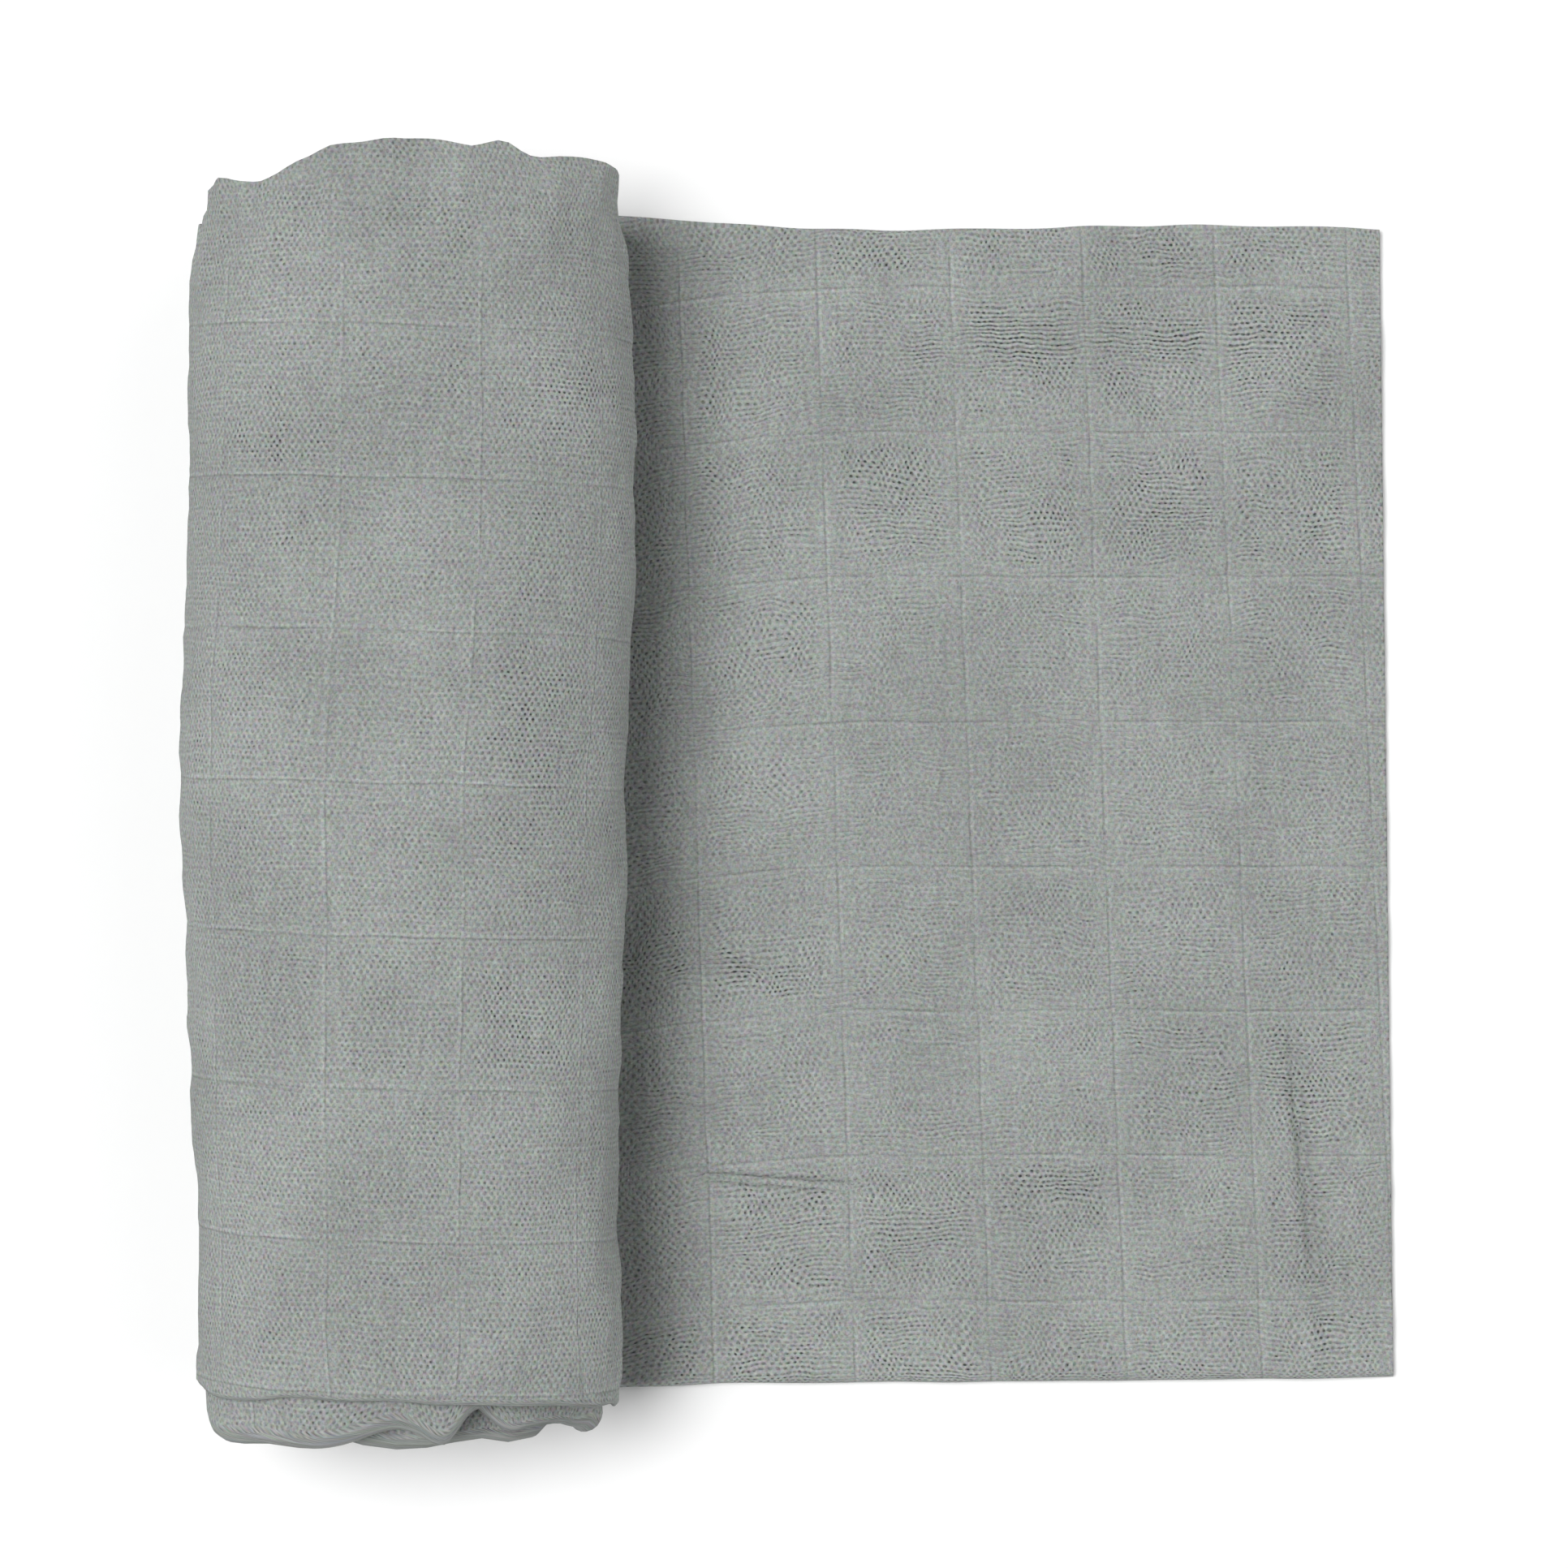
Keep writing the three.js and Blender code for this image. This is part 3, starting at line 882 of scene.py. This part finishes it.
def rows_of_gaps(nodes, weave, rolled, open_and_crease_shade):
    """How far the gaps run together into rows: in patches, less on the roll, more where they are open."""
    patches = nodes.ramp(nodes.noise(weave, 12 * MM, 1)[0], 0.40, 0.62, 0.0, 0.65)
    patches = nodes.math("MULTIPLY", patches, nodes.math("MULTIPLY_ADD", rolled, -0.6, 1.0))
    return nodes.math("MAXIMUM", patches, nodes.ramp(open_and_crease_shade, 0.8, 1.3, 0.0, 0.75))


def windowpane(nodes, weave):
    """The windowpane's dark threads, the pale ones beside them, and the smooth bands along both."""
    moved = drifted(nodes, weave, (0.11, 0.05, 0), LINE_DRIFT)
    split = nodes.add("ShaderNodeSeparateXYZ", {0: moved})
    fading = nodes.ramp(nodes.math("ABSOLUTE", split.outputs[1]), *LINES_UP_TO, 1.0, 0.0)
    lines, pale_lines, bands = [], [], []
    for axis, pitch, size in ((0, PANE_ALONG, 21 * MM), (1, PANE_ACROSS, 27 * MM)):
        place = split.outputs[axis]
        away = nodes.math("PINGPONG", place, pitch / 2)
        away_beside = nodes.math("PINGPONG", nodes.math("ADD", place, PALE_BESIDE), pitch / 2)
        line = nodes.ramp(away, LINE_HALF_WIDTH * 0.4, LINE_HALF_WIDTH * 1.8, 1.0, 0.0)
        pale = nodes.ramp(away_beside, LINE_HALF_WIDTH, LINE_HALF_WIDTH * 2.5, 1.0, 0.0)
        shown = nodes.ramp(nodes.noise(weave, size, 1)[0], 0.36, 0.62, 0.4, 1.0)
        shown = nodes.math("MULTIPLY", shown, fading)
        lines.append(nodes.math("MULTIPLY", line, shown))
        pale_lines.append(nodes.math("MULTIPLY", pale, shown))
        bands.append(nodes.ramp(away, BAND_HALF_WIDTH * 0.6, BAND_HALF_WIDTH * 2.2, 1.0, 0.0))
    return [nodes.math("MAXIMUM", *pair) for pair in (lines, pale_lines, bands)]


def gap_strength(nodes, weave, rolled, open_and_crease_shade, band):
    """How strongly the gaps show: unevenly from place to place, and less in the smooth bands."""
    patches = nodes.ramp(nodes.noise(weave, 13 * MM, 1)[0], 0.34, 0.66, 0.7, 1.25)
    broken = nodes.ramp(stretched_noise(nodes, weave, 3.2 * MM, 1.5 * MM), 0.3, 0.7, 0.55, 1.4)
    smoothed = nodes.math("MULTIPLY", band, nodes.math("MULTIPLY_ADD", rolled, 0.35, -0.75))
    strength = nodes.math("MULTIPLY", open_and_crease_shade, nodes.math("ADD", smoothed, 1.0))
    return nodes.math("MULTIPLY", strength, nodes.math("MULTIPLY", patches, broken))


def light_and_dark(nodes, weave, yarns, yarn_highlight_and_gap_shade):
    """What the yarns' colour is multiplied by: streaks, clouds, grain, a painted highlight on the yarns
    with painted shade in the gaps, and a faint speckle.
    """
    weft = stretched_noise(nodes, yarns, 14 * MM, 0.9 * MM)
    warp = stretched_noise(nodes, yarns, 1.1 * MM, 16 * MM)
    streaks = nodes.ramp(nodes.math("ADD", weft, warp), 0.6, 1.4, *STREAKS)
    clouds = nodes.ramp(nodes.noise(weave, CLOUD_SIZE, 1)[0], 0.3, 0.7, *CLOUDS)
    shade = nodes.grey(nodes.math("MULTIPLY", streaks, clouds))
    grain = nodes.noise(nodes.vector("ADD", weave, (0.2, 0.4, 0)), GRAIN_SIZE, 1, 0.8)[0]
    bright = nodes.math("MULTIPLY_ADD", grain, GRAIN, 0.3)
    # Painted highlight on the yarns and painted shade in the gaps, as strong as the weave shows
    bright = nodes.math("MULTIPLY_ADD", yarn_highlight_and_gap_shade, WEAVE_SHADE, bright)
    speckle = nodes.noise(weave, SPECKLE_SIZE, 1, 0.7)[1]
    tint = nodes.vector("ADD", nodes.scaled(speckle, SPECKLE), nodes.grey(bright))
    return nodes.vector("MULTIPLY", shade, tint)


def yarn_bump(nodes, weave, gaps, line):
    """The finest relief: gaps, fuzz, small lumps and the windowpane's raised threads."""
    fuzz = nodes.noise(weave, 0.5 * MM, 1, 0.7)[0]
    lumps = nodes.noise(weave, 3.2 * MM, 1)[0]
    height = nodes.math("MULTIPLY_ADD", gaps, -1.0, nodes.math("MULTIPLY", fuzz, 0.4))
    height = nodes.math("MULTIPLY_ADD", lumps, 2.0, height)
    height = nodes.math("MULTIPLY_ADD", line, 0.5, height)
    values = {"Strength": BUMP_STRENGTH, "Distance": BUMP_DEPTH, "Height": height}
    return nodes.add("ShaderNodeBump", values).outputs[0]


def muslin():
    """Thin cotton: uneven yarns with gaps between, over the layer below, and the windowpane's lines."""
    nodes = Nodes("muslin")
    weave = nodes.add("ShaderNodeUVMap", uv_map="weave").outputs[0]
    # How strongly the weave shows; along the creases it is also painted crease shade
    open_and_crease_shade = nodes.add("ShaderNodeAttribute", attribute_name="open_weave_and_crease_shade").outputs["Fac"]
    rolled = nodes.ramp(nodes.add("ShaderNodeSeparateXYZ", {0: weave}).outputs[0], *ROLLED_FROM)

    yarns = yarn_places(nodes, weave, rolled)
    yarns_below = drifted(nodes, weave, (0.37, 0.21, 0), *YARN_DRIFTS_BELOW)
    wave, gaps = woven(nodes, yarns, rows_of_gaps(nodes, weave, rolled, open_and_crease_shade))
    gaps_below = woven(nodes, yarns_below, 0.5)[1]
    deep = nodes.math("MULTIPLY", gaps, nodes.math("MULTIPLY_ADD", gaps_below, 0.8, 0.35))
    line, pale, band = windowpane(nodes, weave)
    strength = gap_strength(nodes, weave, rolled, open_and_crease_shade, band)

    colour = nodes.mix(nodes.math("MULTIPLY", deep, strength), THREAD_COLOUR, GAP_COLOUR)
    colour = nodes.mix(nodes.math("MULTIPLY", line, LINE_DARKNESS), colour, GAP_COLOUR)
    colour = nodes.mix(nodes.math("MULTIPLY", pale, PALE_LIGHTNESS), colour, PALE_COLOUR)
    # Streaks, clouds and grain of the cloth, and the painted highlight on the yarns with painted shade in
    # the gaps
    shade = light_and_dark(nodes, weave, yarns, nodes.math("MULTIPLY", wave, strength))
    nodes.put(nodes.shader.inputs["Base Color"], nodes.vector("MULTIPLY", colour, shade))
    nodes.put(nodes.shader.inputs["Normal"], yarn_bump(nodes, weave, gaps, line))
    nodes.shader.inputs["Roughness"].default_value = 0.95
    nodes.shader.inputs["Specular IOR Level"].default_value = 0.15
    return nodes.material


# The studio
CAMERA_PLACE = (-2.9 * MM, 3.7 * MM, 1550 * MM)
CAMERA_LENS = 136.1
CAMERA_SENSOR = 36
FLOOR_RADIUS = 3.0
COVE_RADIUS = 1.6
COVE_ANGLE = 38
COVE_STEPS = 12
COVE_LENGTH = 3.0
FLOOR_SIDES = 96
FLOOR_COLOUR = (0.93, 0.93, 0.93, 1)
KEY_TILT = (-6, -17)
KEY_SPREAD = 27
KEY_STRENGTH = 2.6
FILL_TILT = (-10, 45)
FILL_SPREAD = 60
FILL_STRENGTH = 0.5
SKY_STRENGTH = 0.2


def wide_sun(name, tilt, spread, strength):
    """A large soft light, tilted from straight above by degrees about x and y."""
    data = bpy.data.lights.new(name, "SUN")
    data.angle = math.radians(spread)
    data.energy = strength
    light = bpy.data.objects.new(name, data)
    light.rotation_euler = (math.radians(tilt[0]), math.radians(tilt[1]), 0)
    bpy.context.scene.collection.objects.link(light)


def camera_above():
    """The photograph's view, straight down."""
    data = bpy.data.cameras.new("camera")
    data.lens = CAMERA_LENS
    data.sensor_width = CAMERA_SENSOR
    camera = bpy.data.objects.new("camera", data)
    camera.location = CAMERA_PLACE
    bpy.context.scene.collection.objects.link(camera)
    bpy.context.scene.camera = camera


def dished_floor():
    """A pale floor that bends up far from the cloth, so that a low view sees no edge of it."""
    angles = np.linspace(0, math.radians(COVE_ANGLE), COVE_STEPS + 1)
    profile = [(FLOOR_RADIUS + COVE_RADIUS * math.sin(a), COVE_RADIUS * (1 - math.cos(a))) for a in angles]
    run, rise = COVE_LENGTH * math.cos(angles[-1]), COVE_LENGTH * math.sin(angles[-1])
    profile.append((profile[-1][0] + run, profile[-1][1] + rise))
    around = [TURN * k / FLOOR_SIDES for k in range(FLOOR_SIDES)]
    points = [(r * math.cos(a), r * math.sin(a), z) for r, z in profile for a in around]
    faces = [tuple(range(FLOOR_SIDES))]
    for ring in range(len(profile) - 1):
        for k in range(FLOOR_SIDES):
            here = ring * FLOOR_SIDES + k
            there = ring * FLOOR_SIDES + (k + 1) % FLOOR_SIDES
            faces.append((here, here + FLOOR_SIDES, there + FLOOR_SIDES, there))
    mesh = bpy.data.meshes.new("floor")
    mesh.from_pydata(points, [], faces)
    mesh.materials.append(floor_paint())
    floor = bpy.data.objects.new("floor", mesh)
    bpy.context.scene.collection.objects.link(floor)
    return floor


def floor_paint():
    """Plain and matt, nearly white."""
    nodes = Nodes("floor_paint")
    nodes.shader.inputs["Base Color"].default_value = FLOOR_COLOUR
    nodes.shader.inputs["Roughness"].default_value = 1.0
    nodes.shader.inputs["Specular IOR Level"].default_value = 0.0
    return nodes.material


def pale_sky():
    """An even pale light from all round."""
    world = bpy.data.worlds.new("sky")
    world.use_nodes = True
    background = world.node_tree.nodes["Background"]
    background.inputs["Color"].default_value = (1, 1, 1, 1)
    background.inputs["Strength"].default_value = SKY_STRENGTH
    bpy.context.scene.world = world


def studio():
    """Camera, floor and soft light. The two suns are the only lamps."""
    camera_above()
    dished_floor()
    wide_sun("key_light", KEY_TILT, KEY_SPREAD, KEY_STRENGTH)
    wide_sun("fill_light", FILL_TILT, FILL_SPREAD, FILL_STRENGTH)
    pale_sky()
    bpy.context.scene.view_settings.view_transform = "Standard"


studio()
cloth = muslin_cloth()
cloth.data.materials.append(muslin())
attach(cloth, "root")
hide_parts("muslin_swaddle")
